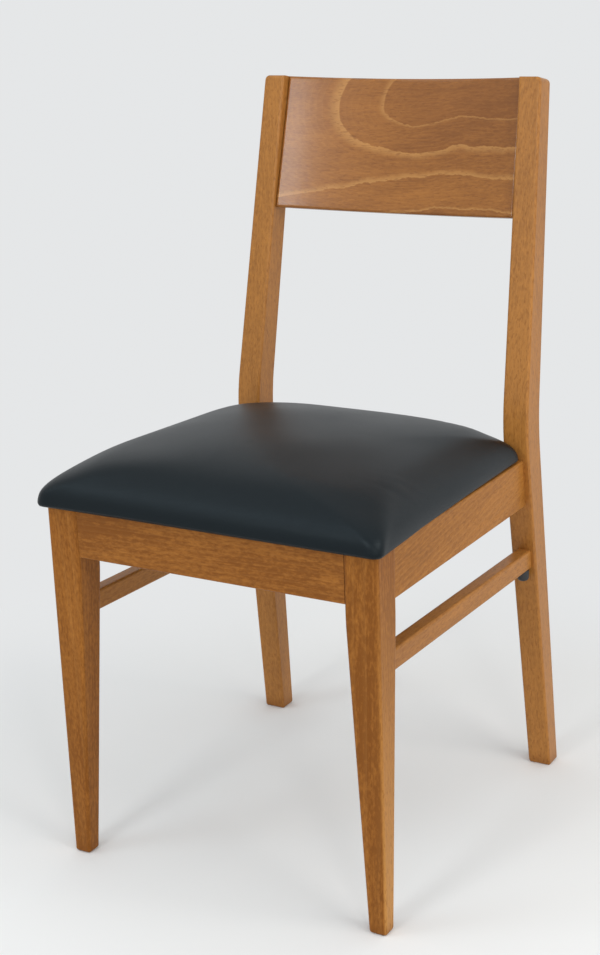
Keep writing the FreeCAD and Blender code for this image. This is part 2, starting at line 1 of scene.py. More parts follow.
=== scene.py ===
"""Looks of a restaurant chair: stained beech, a figured backrest panel and a black vinyl seat pad."""

import math

import bpy
import numpy as np
from mathutils import Matrix, Vector


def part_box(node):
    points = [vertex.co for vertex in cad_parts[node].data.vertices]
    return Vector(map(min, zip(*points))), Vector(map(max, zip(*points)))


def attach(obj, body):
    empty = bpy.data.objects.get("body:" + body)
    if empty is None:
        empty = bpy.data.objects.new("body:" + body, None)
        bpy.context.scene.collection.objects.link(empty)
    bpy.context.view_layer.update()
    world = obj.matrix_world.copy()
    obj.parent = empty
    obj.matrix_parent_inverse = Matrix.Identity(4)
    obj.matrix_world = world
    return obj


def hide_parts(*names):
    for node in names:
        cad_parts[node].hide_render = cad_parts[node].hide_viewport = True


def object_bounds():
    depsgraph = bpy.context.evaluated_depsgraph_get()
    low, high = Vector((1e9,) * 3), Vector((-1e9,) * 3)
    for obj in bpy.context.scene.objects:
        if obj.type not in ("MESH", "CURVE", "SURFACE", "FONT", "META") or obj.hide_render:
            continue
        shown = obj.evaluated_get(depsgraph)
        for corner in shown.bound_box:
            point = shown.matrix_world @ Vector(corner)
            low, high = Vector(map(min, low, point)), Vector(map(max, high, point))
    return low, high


bl_info = {
    "name": "Restaurant Chair",
    "version": (1, 0, 0),
    "blender": (4, 5, 0),
    "location": "View3D > Sidebar > Chair",
    "description": "Dresses a packed restaurant chair in stained beech and black vinyl",
    "category": "Object",
}

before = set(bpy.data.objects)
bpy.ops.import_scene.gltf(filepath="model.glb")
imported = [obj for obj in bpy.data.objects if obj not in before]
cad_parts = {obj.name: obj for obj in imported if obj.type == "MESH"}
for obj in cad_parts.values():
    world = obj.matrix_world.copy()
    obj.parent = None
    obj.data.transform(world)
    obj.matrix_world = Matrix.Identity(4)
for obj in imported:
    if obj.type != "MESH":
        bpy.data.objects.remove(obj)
CAD_LOW, CAD_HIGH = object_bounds()
BODY = "root"
PHOTO_WIDTH = 600
PHOTO_HEIGHT = 955

SIDES = {"left": -1, "right": 1}
BLACK = (0.0, 0.0, 0.0)

# Seat frame: it narrows on each side by a share of its depth
LEG_LOW, LEG_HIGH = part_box("front_leg_right")
LEG_FRONT = LEG_LOW.y
FRAME_TOP = LEG_HIGH.z
HALF_FRONT = LEG_HIGH.x
FRAME_TAPER = 0.030

# Wood: waves of its noise for each metre across, across and along the grain
FINE_FIBRE = (640, 640, 20)
BROAD_FIBRE = (150, 150, 13)
FLECK = (620, 620, 130)
FLECK_EDGE = (0.585, 0.67)
MOTTLE = (360, 360, 140)
RING_DRIFT = (14, 14, 2.2)
RING_SWAY = 0.012
FRAME_TONE = (17, 17, 3.0)
PANEL_TONE = (24, 24, 3.5)
FIBRE_DEPTH = 0.0002
PLY_THICKNESS = 0.0028

# Stain: the tone that stays dark, the shares of tone, streaks and mottle, and the panel's fall to the right
FRAME_LEVEL = 0.24
FRAME_STAIN = {"tone": 1.4, "streak": 1.7, "mottle": 1.7}
PANEL_LEVEL = 0.20
PANEL_STAIN = {"tone": 1.3, "streak": 1.8, "mottle": 0.7}
PANEL_FALL = 0.7

# Dark flecks and feet, the depth inside an outer face where painted light makes it paler, and the right
# side's other heart
FLECK_SHARE = 0.40
FOOT_SHARE = 0.45
FOOT_HEIGHT = 0.020
SIDE_LIGHT_EDGE = (0.0030, 0.0004)
HEART_SHIFT = 0.013

# Figure of the backrest panel in metres: an arch's centre, reach, drop, rise and size, and a line's fade
PANEL_HEART = 0.812
ARCH_POWER = 2.3
INNER_ARCH = (0.030, 0.057, 0.021, 0.045, 0.024)
OUTER_ARCH = (0.015, 0.101, 0.053, 0.055, 0.055)
INNER_FADE = 0.0045
OUTER_FADE = 0.011
LOWER_LINES = ((0.7268, 0.009), (0.6880, 0.005))
LINE_EDGE = 0.0010
LINE_SLOPE = 0.164
SLOPE_END = 0.050
RING_SPACING = 0.0042

# Waves that warp the panel's figure, and its dip at the right
RIPPLE = 0.009
SWAY = 0.010
DIP = 0.012
DIP_SPAN = (0.020, 0.085)

# Mesh of the seat pad
ARC_POINTS = 17
SIDE_POINTS = 24
SIDE_RINGS = 8
RING_POINTS = 520
CROWN_RINGS = 34
STEEPEST = math.radians(89.4)
CORNER_EASE = 6

# Swell of the seat pad, and the shares of its rounds of smoothing
SWELL_FRAMES = 20
SWELL_SHARES = [0.5] * 12
FORM_SHARES = [0.6, -0.615] * 40
TINY = 1e-9

# Heights and distances over which the pad's details come or go, in metres
LOOSE_EDGE = (0.001, 0.006)
SMOOTH_EDGE = (0.006, 0.014)
HANG_REACH = (0.001, 0.005)
HANG_FADE = (0.002, 0.016)
GATHERS = 13
GATHER_DEPTH = 0.0007
GATHER_SPREAD = 0.55
GATHER_FADE = (0.002, 0.012)
GATHER_REACH = (0.003, 0.007)
GATHER_CLOSEST = 0.001
VINYL_DEPTH = 0.00012

# Stage: a lamp's turn to the right of the front and its rise in degrees, distance, side, watts and tint
STAGE_REACH = 6.0
FLOOR_FADE = (0.45, 0.85)
WARM = (1.0, 0.98, 0.95)
LAMPS = (
    ("key_box", 42, 13, 2.8, 0.3, 7.0, WARM),
    ("side_box", 82, 32, 2.6, 1.5, 22.0, WARM),
    ("window_box", -6, 25, 2.9, 0.6, 15.0, (0.93, 0.97, 1.0)),
    ("sky_box", -44, 42, 2.8, 0.8, 7.0, (0.80, 0.92, 1.0)),
    ("top_box", 10, 80, 2.4, 2.2, 6.0, (1.0, 1.0, 1.0)),
)


# Settings that a user would change

class PadSettings(bpy.types.PropertyGroup):
    """Size and softness of the seat pad, measured on the seat frame's sloping top."""

    slope: bpy.props.FloatProperty(
        name="Slope", description="Fall of the seat towards the back", default=math.radians(1.9),
        subtype="ANGLE")
    front_overhang: bpy.props.FloatProperty(
        name="Front overhang", description="Reach past the front legs", default=0.0068, unit="LENGTH")
    back_edge: bpy.props.FloatProperty(
        name="Back edge", description="Depth of the back edge behind the front legs' front",
        default=0.380, unit="LENGTH")
    half_front: bpy.props.FloatProperty(
        name="Half front width", description="Half the width at the front edge",
        default=HALF_FRONT + 0.0023, unit="LENGTH")
    half_back: bpy.props.FloatProperty(
        name="Half back width", description="Half the width at the back edge", default=0.1875,
        unit="LENGTH")
    corner: bpy.props.FloatProperty(
        name="Corner", description="Plan radius of the corners", default=0.007, unit="LENGTH")
    corner_growth: bpy.props.FloatProperty(
        name="Corner growth", description="Extra corner radius towards the crown", default=0.280,
        unit="LENGTH")
    roundest: bpy.props.FloatProperty(
        name="Roundest", description="Largest corner radius as a share of half the pad's depth",
        default=0.93)
    bulge: bpy.props.FloatProperty(
        name="Bulge", description="How far the sides swell", default=0.0056, unit="LENGTH")
    tuck: bpy.props.FloatProperty(
        name="Tuck", description="How far the lower edge is drawn in", default=0.0035, unit="LENGTH")
    bulge_height: bpy.props.FloatProperty(
        name="Bulge height", description="Height of the widest line", default=0.0078, unit="LENGTH")
    height: bpy.props.FloatProperty(
        name="Height", description="Height of the crown above the frame", default=0.070, unit="LENGTH")
    squareness: bpy.props.FloatProperty(
        name="Squareness", description="Power of the crown's profile", default=2.85)
    hang: bpy.props.FloatProperty(
        name="Hang", description="How far the soft roll sags past the frame's top edge", default=0.0028,
        unit="LENGTH")
    seat_gap: bpy.props.FloatProperty(
        name="Seat gap", description="Gap above the frame", default=0.0003, unit="LENGTH")
    slack: bpy.props.FloatProperty(
        name="Slack", description="How much smaller the pad is before it swells", default=0.0015,
        unit="LENGTH")
    pressure: bpy.props.FloatProperty(
        name="Pressure", description="Push of the foam against the cover", default=4.0)
    most_swell: bpy.props.FloatProperty(
        name="Most swell", description="Furthest that a point of the cover may move", default=0.0022,
        unit="LENGTH")
    fill: bpy.props.FloatProperty(
        name="Fill", description="How tightly the foam fills the cover", default=0.9, min=0, max=1,
        subtype="FACTOR")


class BeechSettings(bpy.types.PropertyGroup):
    """Colours and grain of the stained and raw beech."""

    mid: bpy.props.FloatVectorProperty(
        name="Stain", description="Main colour of the stained beech", default=(0.385, 0.148, 0.026),
        subtype="COLOR", min=0, max=1)
    dark: bpy.props.FloatVectorProperty(
        name="Dark stain", description="Stain in the late wood and the flecks",
        default=(0.205, 0.068, 0.010), subtype="COLOR", min=0, max=1)
    light: bpy.props.FloatVectorProperty(
        name="Light lines", description="Early wood beside a growth line",
        default=(0.540, 0.265, 0.075), subtype="COLOR", min=0, max=1)
    raw: bpy.props.FloatVectorProperty(
        name="Raw beech", description="Unstained wood inside the frame", default=(0.50, 0.31, 0.155),
        subtype="COLOR", min=0, max=1)
    ring_width: bpy.props.FloatProperty(
        name="Ring width", description="Distance between growth lines", default=0.0048, unit="LENGTH")
    roughness: bpy.props.FloatProperty(
        name="Roughness", description="Roughness of the lacquer", default=0.36, min=0, max=1,
        subtype="FACTOR")


class VinylSettings(bpy.types.PropertyGroup):
    """Colour and grain of the seat's vinyl."""

    colour: bpy.props.FloatVectorProperty(
        name="Vinyl", description="Colour of the vinyl", default=(0.0034, 0.0066, 0.0092),
        subtype="COLOR", min=0, max=1)
    roughness: bpy.props.FloatProperty(
        name="Roughness", description="Roughness of the vinyl", default=0.35, min=0, max=1,
        subtype="FACTOR")
    grain: bpy.props.FloatProperty(
        name="Grain", description="Size of the embossed grain", default=0.0009, unit="LENGTH")


class StageSettings(bpy.types.PropertyGroup):
    """Camera, floor and room."""

    camera_place: bpy.props.FloatVectorProperty(
        name="Camera place", description="Camera, with depth measured from the front legs",
        default=(0.94222, -1.38613, 0.99870), subtype="TRANSLATION", unit="LENGTH")
    yaw: bpy.props.FloatProperty(
        name="Yaw", description="Turn of the view to the left", default=math.radians(30.70),
        subtype="ANGLE")
    pitch: bpy.props.FloatProperty(
        name="Pitch", description="Rise of the view", default=math.radians(-17.24), subtype="ANGLE")
    roll: bpy.props.FloatProperty(
        name="Roll", description="Roll of the camera", default=math.radians(-2.15), subtype="ANGLE")
    focal_pixels: bpy.props.FloatProperty(
        name="Focal length", description="Focal length in pixels of the picture", default=1702.35)
    centre_pixels: bpy.props.FloatVectorProperty(
        name="Picture centre", description="Where the view's axis meets the picture", size=2,
        default=(299.12, 476.69))
    backdrop: bpy.props.FloatVectorProperty(
        name="Backdrop", description="Colour of the room round the chair", default=(0.785, 0.797, 0.805),
        subtype="COLOR", min=0, max=1)
    floor: bpy.props.FloatVectorProperty(
        name="Floor", description="Colour of the floor", default=(0.86, 0.865, 0.86),
        subtype="COLOR", min=0, max=1)
    room_light: bpy.props.FloatProperty(
        name="Room light", description="Light of the room as a share of its colour", default=0.86,
        subtype="FACTOR", min=0, max=1)


class ChairSettings(bpy.types.PropertyGroup):
    """All the settings of the chair's looks."""

    pad: bpy.props.PointerProperty(type=PadSettings)
    beech: bpy.props.PointerProperty(type=BeechSettings)
    vinyl: bpy.props.PointerProperty(type=VinylSettings)
    stage: bpy.props.PointerProperty(type=StageSettings)


# Shader maths

class Signal:
    """A socket of a finish: arithmetic on it adds Math nodes."""

    def __init__(self, finish, socket):
        self.finish = finish
        self.socket = socket

    def math(self, operation, *values):
        return self.finish.node("ShaderNodeMath", {"operation": operation}, dict(enumerate(values)))

    def __add__(self, other):
        return self.math("ADD", self, other)

    __radd__ = __add__

    def __sub__(self, other):
        return self.math("SUBTRACT", self, other)

    def __rsub__(self, other):
        return self.math("SUBTRACT", other, self)

    def __mul__(self, other):
        return self.math("MULTIPLY", self, other)

    def __truediv__(self, other):
        return self.math("DIVIDE", self, other)

    def __pow__(self, other):
        return self.math("POWER", self, other)

    def __abs__(self):
        return self.math("ABSOLUTE", self)

    def part(self):
        """What is left after the whole number."""
        return self.math("FRACT", self)

    def most(self, other):
        return self.math("MAXIMUM", self, other)

    def least(self, other):
        return self.math("MINIMUM", self, other)

    def step(self, start, end):
        """A smooth step from 0 at start to 1 at end."""
        return self.finish.node(
            "ShaderNodeMapRange", {"interpolation_type": "SMOOTHSTEP"},
            {"Value": self, "From Min": start, "From Max": end})


class Shading:
    """A node tree under construction."""

    def __init__(self, tree):
        self.tree = tree

    def node(self, kind, settings, sockets, output=0):
        """Any node: its type, its settings, then the values or links of its sockets."""
        made = self.tree.nodes.new(kind)
        for name, value in settings.items():
            setattr(made, name, value)
        for name, value in sockets.items():
            self.feed(made.inputs[name], value)
        return Signal(self, made.outputs[output])

    def feed(self, socket, value):
        if isinstance(value, Signal):
            self.tree.links.new(value.socket, socket)
        else:
            socket.default_value = value

    def seen(self):
        """1 for what is looked at, straight or by a reflection, and 0 for light that falls on a surface."""
        path = self.node("ShaderNodeLightPath", {}, {}).socket.node
        straight, mirrored, through = (
            Signal(self, path.outputs["Is %s Ray" % kind]) for kind in ("Camera", "Glossy", "Transmission"))
        return straight.most(mirrored).most(through)


class Finish(Shading):
    """A material under construction, with one Principled shader."""

    def __init__(self, name, **constants):
        self.material = bpy.data.materials.new(name)
        self.material.use_nodes = True
        super().__init__(self.material.node_tree)
        self.shader = self.tree.nodes["Principled BSDF"]
        for socket, value in constants.items():
            self.shader.inputs[socket.replace("_", " ").title().replace("Ior", "IOR")].default_value = value

    def set(self, name, value):
        self.feed(self.shader.inputs[name], value)

    def place(self):
        """The point on the piece, in metres."""
        return self.node("ShaderNodeTexCoord", {}, {}, "Object")

    def turned(self, vector, rotation, location):
        return self.node("ShaderNodeMapping", {"vector_type": "POINT"},
                         {"Vector": vector, "Rotation": rotation, "Location": location})

    def stretched(self, vector, scale):
        return self.node("ShaderNodeVectorMath", {"operation": "MULTIPLY"}, {0: vector, 1: scale})

    def axes(self, vector):
        split = self.node("ShaderNodeSeparateXYZ", {}, {"Vector": vector}).socket.node
        return [Signal(self, socket) for socket in split.outputs]

    def noise(self, vector, scale, detail=2.0, rough=0.5):
        return self.node("ShaderNodeTexNoise", {"noise_dimensions": "3D"},
                         {"Vector": self.stretched(vector, scale), "Scale": 1.0, "Detail": detail,
                          "Roughness": rough})

    def cells(self, vector, scale, feature="F1", output="Distance"):
        return self.node("ShaderNodeTexVoronoi", {"feature": feature},
                         {"Vector": self.stretched(vector, scale), "Scale": 1.0}, output)

    def blend(self, share, first, second):
        """A colour the share of the way from first to second."""
        return self.node("ShaderNodeMix", {"data_type": "RGBA", "clamp_factor": True},
                         {0: share, 6: colour(first), 7: colour(second)}, 2)

    def bump(self, height, distance, strength):
        self.set("Normal", self.node("ShaderNodeBump", {}, {
            "Height": height, "Distance": distance, "Strength": strength}))

    def on(self, *nodes):
        """Puts the finish on CAD nodes."""
        for node in nodes:
            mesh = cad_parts[node].data
            mesh.materials.clear()
            mesh.materials.append(self.material)


def colour(value):
    """A signal as it is, or a colour with its alpha."""
    return value if isinstance(value, Signal) else (*value, 1.0)


def shade(tint, share):
    """A darker copy of a colour."""
    return [channel * share for channel in tint]


# Wood

def heartwood(finish, node, grain, heart):
    """Object coordinates turned so that Z runs along the grain and passes through the tree's heart."""
    low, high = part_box(node)
    turn = Vector(grain).normalized().rotation_difference(Vector((0, 0, 1)))
    origin = (low + high) / 2 + Vector(heart)
    return finish.turned(finish.place(), turn.to_euler(), -(turn @ origin))


def fibres(finish, wood):
    """Fine and broad streaks along the grain, and short dark flecks on about a fifth of the surface."""
    fine = finish.noise(wood, FINE_FIBRE, 3.0, 0.6)
    broad = finish.noise(wood, BROAD_FIBRE, 3.0, 0.6)
    streak = fine * 0.5 + broad * 0.5
    fleck = finish.noise(wood, FLECK, 1.0, 0.4).step(*FLECK_EDGE)
    return streak, fleck


def stain_depth(finish, wood, tone, streak, shares):
    """How much of the main stain shows over the dark one: broad tone, streaks and short blotches."""
    mottle = finish.noise(wood, MOTTLE, 2.0, 0.6) - 0.5
    return tone * shares["tone"] + (streak - 0.5) * shares["streak"] + mottle * shares["mottle"]


def growth_lines(finish, wood, ring_width):
    """Distance from the heart, drifting along the grain, cut into rings that are light at their start."""
    across, over = finish.axes(wood)[:2]
    drift = finish.noise(wood, RING_DRIFT, 2.0)
    radius = (across * across + over * over) ** 0.5 + (drift - 0.5) * RING_SWAY
    return (1 - (radius / ring_width).part()) ** 3


def side_light_mask(node, across, up):
    """Share of painted light that is 1 at the foot of the piece's outermost upright face and fades out up to
    its top.
    """
    low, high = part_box(node)
    face = max(-low.x, high.x)
    start, end = (face - inside for inside in SIDE_LIGHT_EDGE)
    return abs(across).step(start, end) * (1 - up / high.z).most(0)


def stained_beech(node, grain, heart, look, contrast, gloss, pale, outer=0.0):
    """Satin stained beech: broad tone, growth lines, mottle, fibres and flecks under lacquer.

    It is paler in some pieces. At the foot of an outer face it is painted paler, as painted light from the
    side. The foot's edge is dark.
    """
    finish = Finish("stained_beech_" + node, coat_weight=gloss * 0.3, coat_roughness=0.25,
                    specular_ior_level=gloss)
    wood = heartwood(finish, node, grain, heart)
    streak, fleck = fibres(finish, wood)
    tone = finish.noise(wood, FRAME_TONE, 2.0) - FRAME_LEVEL + pale
    line = growth_lines(finish, wood, look.ring_width)
    across, up = finish.axes(finish.place())[::2]
    # Painted light: the lower outer face is painted paler, as if lit from the side
    painted_side_light = side_light_mask(node, across, up) * outer
    foot = 1 - up.step(0.0, FOOT_HEIGHT)
    base = finish.blend(stain_depth(finish, wood, tone, streak, FRAME_STAIN) + painted_side_light, look.dark, look.mid)
    base = finish.blend(line * contrast + max(pale, 0.0) + painted_side_light, base, look.light)
    base = finish.blend(fleck * FLECK_SHARE + foot * FOOT_SHARE, base, look.dark)
    finish.set("Base Color", base)
    finish.set("Roughness", look.roughness + (streak - 0.5) * 0.16)
    finish.bump(streak * 0.5 - fleck, FIBRE_DEPTH, 0.25)
    return finish


class DressFrame(bpy.types.Operator):
    """Stains the legs, rails and stretchers, with the grain along each piece"""

    bl_idname = "chair.dress_frame"
    bl_label = "Stain the frame"

    def execute(self, context):
        look = context.scene.chair.beech
        pieces = [
            ("front_rail", (1, 0, 0.02), (0, 0.06, -0.09), {"contrast": 0.08, "gloss": 0.12, "pale": -0.03}),
            ("back_rail", (1, 0, 0.03), (0, -0.05, 0.08), {"contrast": 0.12, "gloss": 0.12, "pale": 0.03}),
        ]
        for side, out in SIDES.items():
            shift = HEART_SHIFT * max(out, 0)
            pieces += [
                # The front legs' outer share is painted light on their lower outer faces
                ("front_leg_" + side, (0.03 * out, 0, 1), (0.05 * out, 0.13 + shift, 0),
                 {"contrast": 0.10, "gloss": 0.09, "pale": -0.12, "outer": 0.75}),
                ("back_leg_" + side, (0.02 * out, 0.02, 1), (0.10 * out, -0.09 + shift, 0),
                 {"contrast": 0.10, "gloss": 0.20, "pale": 0.22}),
                ("side_rail_" + side, (0, 1, 0.09), (-0.034 * out, 0.02, -0.030 - shift),
                 {"contrast": 0.20, "gloss": 0.06, "pale": 0.13}),
                ("side_stretcher_" + side, (0, 1, 0.01), (-0.06 * out, 0, 0.05 + shift),
                 {"contrast": 0.12, "gloss": 0.12, "pale": 0.20}),
            ]
        for node, grain, heart, stain in pieces:
            stained_beech(node, grain, heart, look, **stain).on(node)
        return {"FINISHED"}


def arch(across, up, centre, reach, drop, rise, size):
    """About the distance past a growth arch that opens to the right.

    Left of the centre it is an oval with its own drop below and rise above. Right of the centre it runs
    level. The distance in shares of the oval is turned into metres by the arch's size.
    """
    side = (centre - across).most(0) / reach
    over = (PANEL_HEART - up).most(0) / drop + (up - PANEL_HEART).most(0) / rise
    return ((side ** ARCH_POWER + over ** ARCH_POWER) ** (1 / ARCH_POWER) - 1) * size


def panel_figure(finish, point):
    """The share of light wood beside the growth lines, and the share of dark wood inside the arches.

    Two arches open to the right and two lines below them rise to the right. Each line starts sharply where
    a warped distance passes it and fades away from there. Faint rings follow the outer arch.
    """
    across, up = finish.axes(point)[::2]
    ripple = finish.noise(point, (52, 52, 52), 3.0, 0.65) - 0.5
    sway = finish.noise(point, (13, 13, 13), 1.0) - 0.5
    waved = up + ripple * RIPPLE + sway * SWAY
    warped = waved - across.step(*DIP_SPAN) * DIP
    inner = arch(across, warped, *INNER_ARCH)
    outer = arch(across, warped, *OUTER_ARCH)
    level = waved - across.least(SLOPE_END) * LINE_SLOPE
    light = (1 - ((outer + ripple * 0.003) / RING_SPACING).part()) ** 3 * 0.16
    lower = [(level - height, fade) for height, fade in LOWER_LINES]
    for past, fade in [(inner, INNER_FADE), (outer, OUTER_FADE)] + lower:
        light = light.most(past.step(0.0, LINE_EDGE) * (1 - past.step(0.0, fade)))
    dark = (1 - inner.step(0.0, LINE_EDGE)) * 0.20 + (1 - outer.step(0.0, LINE_EDGE)) * 0.14
    return light, dark


class DressBackrest(bpy.types.Operator):
    """Gives the backrest panel its figured beech face"""

    bl_idname = "chair.dress_backrest"
    bl_label = "Figure the backrest panel"

    def execute(self, context):
        look = context.scene.chair.beech
        node = "backrest_panel"
        finish = Finish("figured_beech_panel", coat_weight=0.34, coat_roughness=0.16,
                        specular_ior_level=0.24)
        wood = heartwood(finish, node, (1, 0, 0.06), (0, 0, 0))
        streak, fleck = fibres(finish, wood)
        point = finish.place()
        light, dark = panel_figure(finish, point)
        tone = finish.noise(wood, PANEL_TONE, 3.0) - PANEL_LEVEL - finish.axes(point)[0] * PANEL_FALL
        base = finish.blend(stain_depth(finish, wood, tone, streak, PANEL_STAIN), look.dark, look.mid)
        base = finish.blend(light * 0.60, base, look.light)
        base = finish.blend(fleck * FLECK_SHARE + dark, base, look.dark)
        finish.set("Base Color", base)
        finish.set("Roughness", look.roughness - 0.04 + (streak - 0.5) * 0.14)
        finish.bump(streak * 0.5 - fleck, FIBRE_DEPTH, 0.2)
        finish.on(node)
        return {"FINISHED"}


# Seat pad

def seated(points, pad):
    """Points given across, along and above the sloping seat frame, in the chair's own frame."""
    sine, cosine = math.sin(pad.slope), math.cos(pad.slope)
    across, along, above = points[..., 0], points[..., 1], points[..., 2]
    return np.stack([across, LEG_FRONT + along * cosine + above * sine,
                     FRAME_TOP - along * sine + above * cosine], axis=-1)


def unseated(points, pad):
    """The turn back from the chair's own frame to the seat frame's top."""
    sine, cosine = math.sin(pad.slope), math.cos(pad.slope)
    depth, height = points[..., 1] - LEG_FRONT, points[..., 2] - FRAME_TOP
    return np.stack([points[..., 0], depth * cosine - height * sine,
                     depth * sine + height * cosine], axis=-1)


def pad_plan(pad):
    """Depth of the pad's middle behind the frame's front, and half the pad's depth."""
    middle = (pad.back_edge - pad.front_overhang) / 2
    return middle, middle + pad.front_overhang


def pad_corners(pad):
    """Half width, side and end of each corner, going round from the front right."""
    return ((pad.half_front, 1, -1), (pad.half_back, 1, 1),
            (pad.half_back, -1, 1), (pad.half_front, -1, -1))


def evened(rings, count):
    """Closed rings with evenly spaced points: the length round each ring is shared out evenly."""
    closed = np.concatenate([rings, rings[:, :1]], axis=1)
    steps = np.linalg.norm(np.diff(closed, axis=1), axis=-1)
    run = np.concatenate([np.zeros((len(rings), 1)), np.cumsum(steps, axis=1)], axis=1)
    share = np.linspace(0, 1, count, endpoint=False)
    return np.stack([
        np.stack([np.interp(share * length[-1], length, way) for way in ring.T], axis=-1)
        for ring, length in zip(closed, run)])


def pad_rings(grow, share, radius, height, pad):
    """Rings of a rounded trapezoid, one for each entry of the arrays, going round from the front right.

    A corner's arc lies round a centre set in from the corner by the radius along both sides, and its
    turn runs from one side's outward way to the next one's. Straight sides join the arcs.
    """
    middle, half_depth = pad_plan(pad)
    lean = math.atan2(pad.half_front - pad.half_back, 2 * half_depth)
    ways = np.array([-math.pi / 2, lean, math.pi / 2, math.pi - lean, 3 * math.pi / 2])
    reach = (half_depth + grow) * share
    arcs = []
    for index, (half, side, end) in enumerate(pad_corners(pad)):
        corner = np.stack([side * (half + grow) * share, middle + end * reach], axis=-1)
        first, second = (np.array([math.cos(way), math.sin(way)]) for way in ways[index:index + 2])
        centre = corner - radius[:, None] * (first + second) / (1 + first @ second)
        turn = np.linspace(ways[index], ways[index + 1], ARC_POINTS)
        circle = np.stack([np.cos(turn), np.sin(turn)], axis=-1)
        arcs.append(centre[:, None] + radius[:, None, None] * circle)
    along = np.linspace(0, 1, SIDE_POINTS + 2)[1:-1, None]
    runs = []
    for arc, following in zip(arcs, arcs[1:] + arcs[:1]):
        runs += [arc, arc[:, -1:] * (1 - along) + following[:, :1] * along]
    plan = evened(np.concatenate(runs, axis=1), RING_POINTS)
    return np.concatenate([plan, np.broadcast_to(height[:, None, None], plan.shape[:2] + (1,))], axis=-1)


def pad_form(inside, pad):
    """The pad a distance inside its skin, as rings from its lower edge to its crown.

    Up to the widest line, the sides swell from the tuck to the bulge by a parabola. Above it, the
    plan's share to the power of squareness and the square of the height add up to one. The corners grow
    rounder with the height and ease into the roundest that fits the plan.
    """
    bottom = pad.seat_gap + inside
    rise = np.linspace(0, 1, SIDE_RINGS, endpoint=False)
    turn = np.linspace(0, STEEPEST, CROWN_RINGS)
    share = np.concatenate([np.ones(SIDE_RINGS), np.cos(turn) ** (2 / pad.squareness)])
    swell = pad.bulge - (pad.bulge + pad.tuck) * (1 - rise) ** 2
    grow = np.concatenate([swell, np.full(CROWN_RINGS, pad.bulge)]) - inside
    crown = pad.height - inside - pad.bulge_height
    height = np.concatenate([
        bottom + (pad.bulge_height - bottom) * rise, pad.bulge_height + crown * np.sin(turn)])
    wanted = pad.corner + grow + pad.corner_growth * (1 - share)
    roundest = pad.roundest * (pad_plan(pad)[1] + grow) * share
    radius = (wanted ** -CORNER_EASE + roundest ** -CORNER_EASE) ** (-1 / CORNER_EASE)
    return pad_rings(grow, share, radius, height, pad)


def closed_rings(rings):
    """Points and faces of stacked rings, closed by a fan to the middle of the first and the last."""
    count, around = rings.shape[:2]
    points = np.concatenate([rings.reshape(-1, 3), rings[:1].mean(axis=1), rings[-1:].mean(axis=1)])
    place = np.arange(around)
    after = (place + 1) % around
    row = np.arange(count - 1)[:, None] * around
    quads = np.stack([row + place, row + after, row + around + after, row + around + place], axis=-1)
    low = np.stack([np.full(around, count * around), after, place], axis=-1)
    last = (count - 1) * around
    high = np.stack([np.full(around, count * around + 1), last + place, last + after], axis=-1)
    return points, quads.reshape(-1, 4).tolist() + low.tolist() + high.tolist()


def new_piece(name, points, faces):
    mesh = bpy.data.meshes.new(name)
    mesh.from_pydata(points, [], faces)
    mesh.update()
    piece = bpy.data.objects.new(name, mesh)
    bpy.context.scene.collection.objects.link(piece)
    return piece


def smooth_faces(piece):
    piece.data.polygons.foreach_set("use_smooth", np.ones(len(piece.data.polygons), bool))
    piece.data.update()


def places(mesh):
    """The vertices of a mesh as an array of rows."""
    flat = np.empty(len(mesh.vertices) * 3, np.float32)
    mesh.vertices.foreach_get("co", flat)
    return flat.reshape(-1, 3).astype(float)


def inflated(piece, pad):
    """Where the cover's points go when the foam pushes it out for some frames, without gravity."""
    modifier = piece.modifiers.new("cover", "CLOTH")
    modifier.settings.use_pressure = True
    modifier.settings.uniform_pressure_force = pad.pressure
    modifier.settings.effector_weights.gravity = 0
    scene = bpy.context.scene
    for step in range(1, SWELL_FRAMES + 1):
        scene.frame_set(step)
    shown = piece.evaluated_get(bpy.context.evaluated_depsgraph_get())
    moved = places(shown.data)
    piece.modifiers.clear()
    scene.frame_set(1)
    return moved


def ramp(values, start, end):
    """A smooth step from 0 at start to 1 at end."""
    share = np.clip((values - start) / (end - start), 0, 1)
    return share * share * (3 - 2 * share)


def relaxed(values, mesh, free, shares):
    """Smooths rows of values over a mesh.

    Each round moves the free ones a share of the way to their neighbours' mean. A share below zero moves
    them back, so that a form keeps its size.
    """
    ends = np.empty(len(mesh.edges) * 2, np.int32)
    mesh.edges.foreach_get("vertices", ends)
    first, second = ends.reshape(-1, 2).T
    here = np.concatenate([first, second])
    there = np.concatenate([second, first])
    count = len(values)
    degree = np.bincount(here, minlength=count)[:, None]
    for share in shares:
        sums = np.stack([np.bincount(here, way[there], count) for way in values.T], axis=-1)
        values = values + (sums / degree - values) * (share * free)[:, None]
    return values


def fitted(points, pad):
    """Stretches the swollen pad evenly along each way until it fills the size that it was cut for."""
    low, high = points.min(axis=0), points.max(axis=0)
    reach = pad.half_front + pad.bulge
    start = np.array([-reach, -pad.front_overhang - pad.bulge, pad.seat_gap])
    end = np.array([reach, pad.back_edge + pad.bulge, pad.height])
    return start + (points - low) / (high - low) * (end - start)


def hung(points, pad):
    """Lets the roll sag where it stands out past the frame.

    The distance outside the frame's front and its narrowing sides sets the sag, which rises by a smooth
    step, and it fades out up the roll.
    """
    across, along, above = points.T
    side = HALF_FRONT - along * FRAME_TAPER
    outside = np.maximum(-along, np.abs(across) - side)
    moved = points.copy()
    moved[:, 2] -= pad.hang * ramp(outside, *HANG_REACH) * (1 - ramp(above, *HANG_FADE))
    return moved


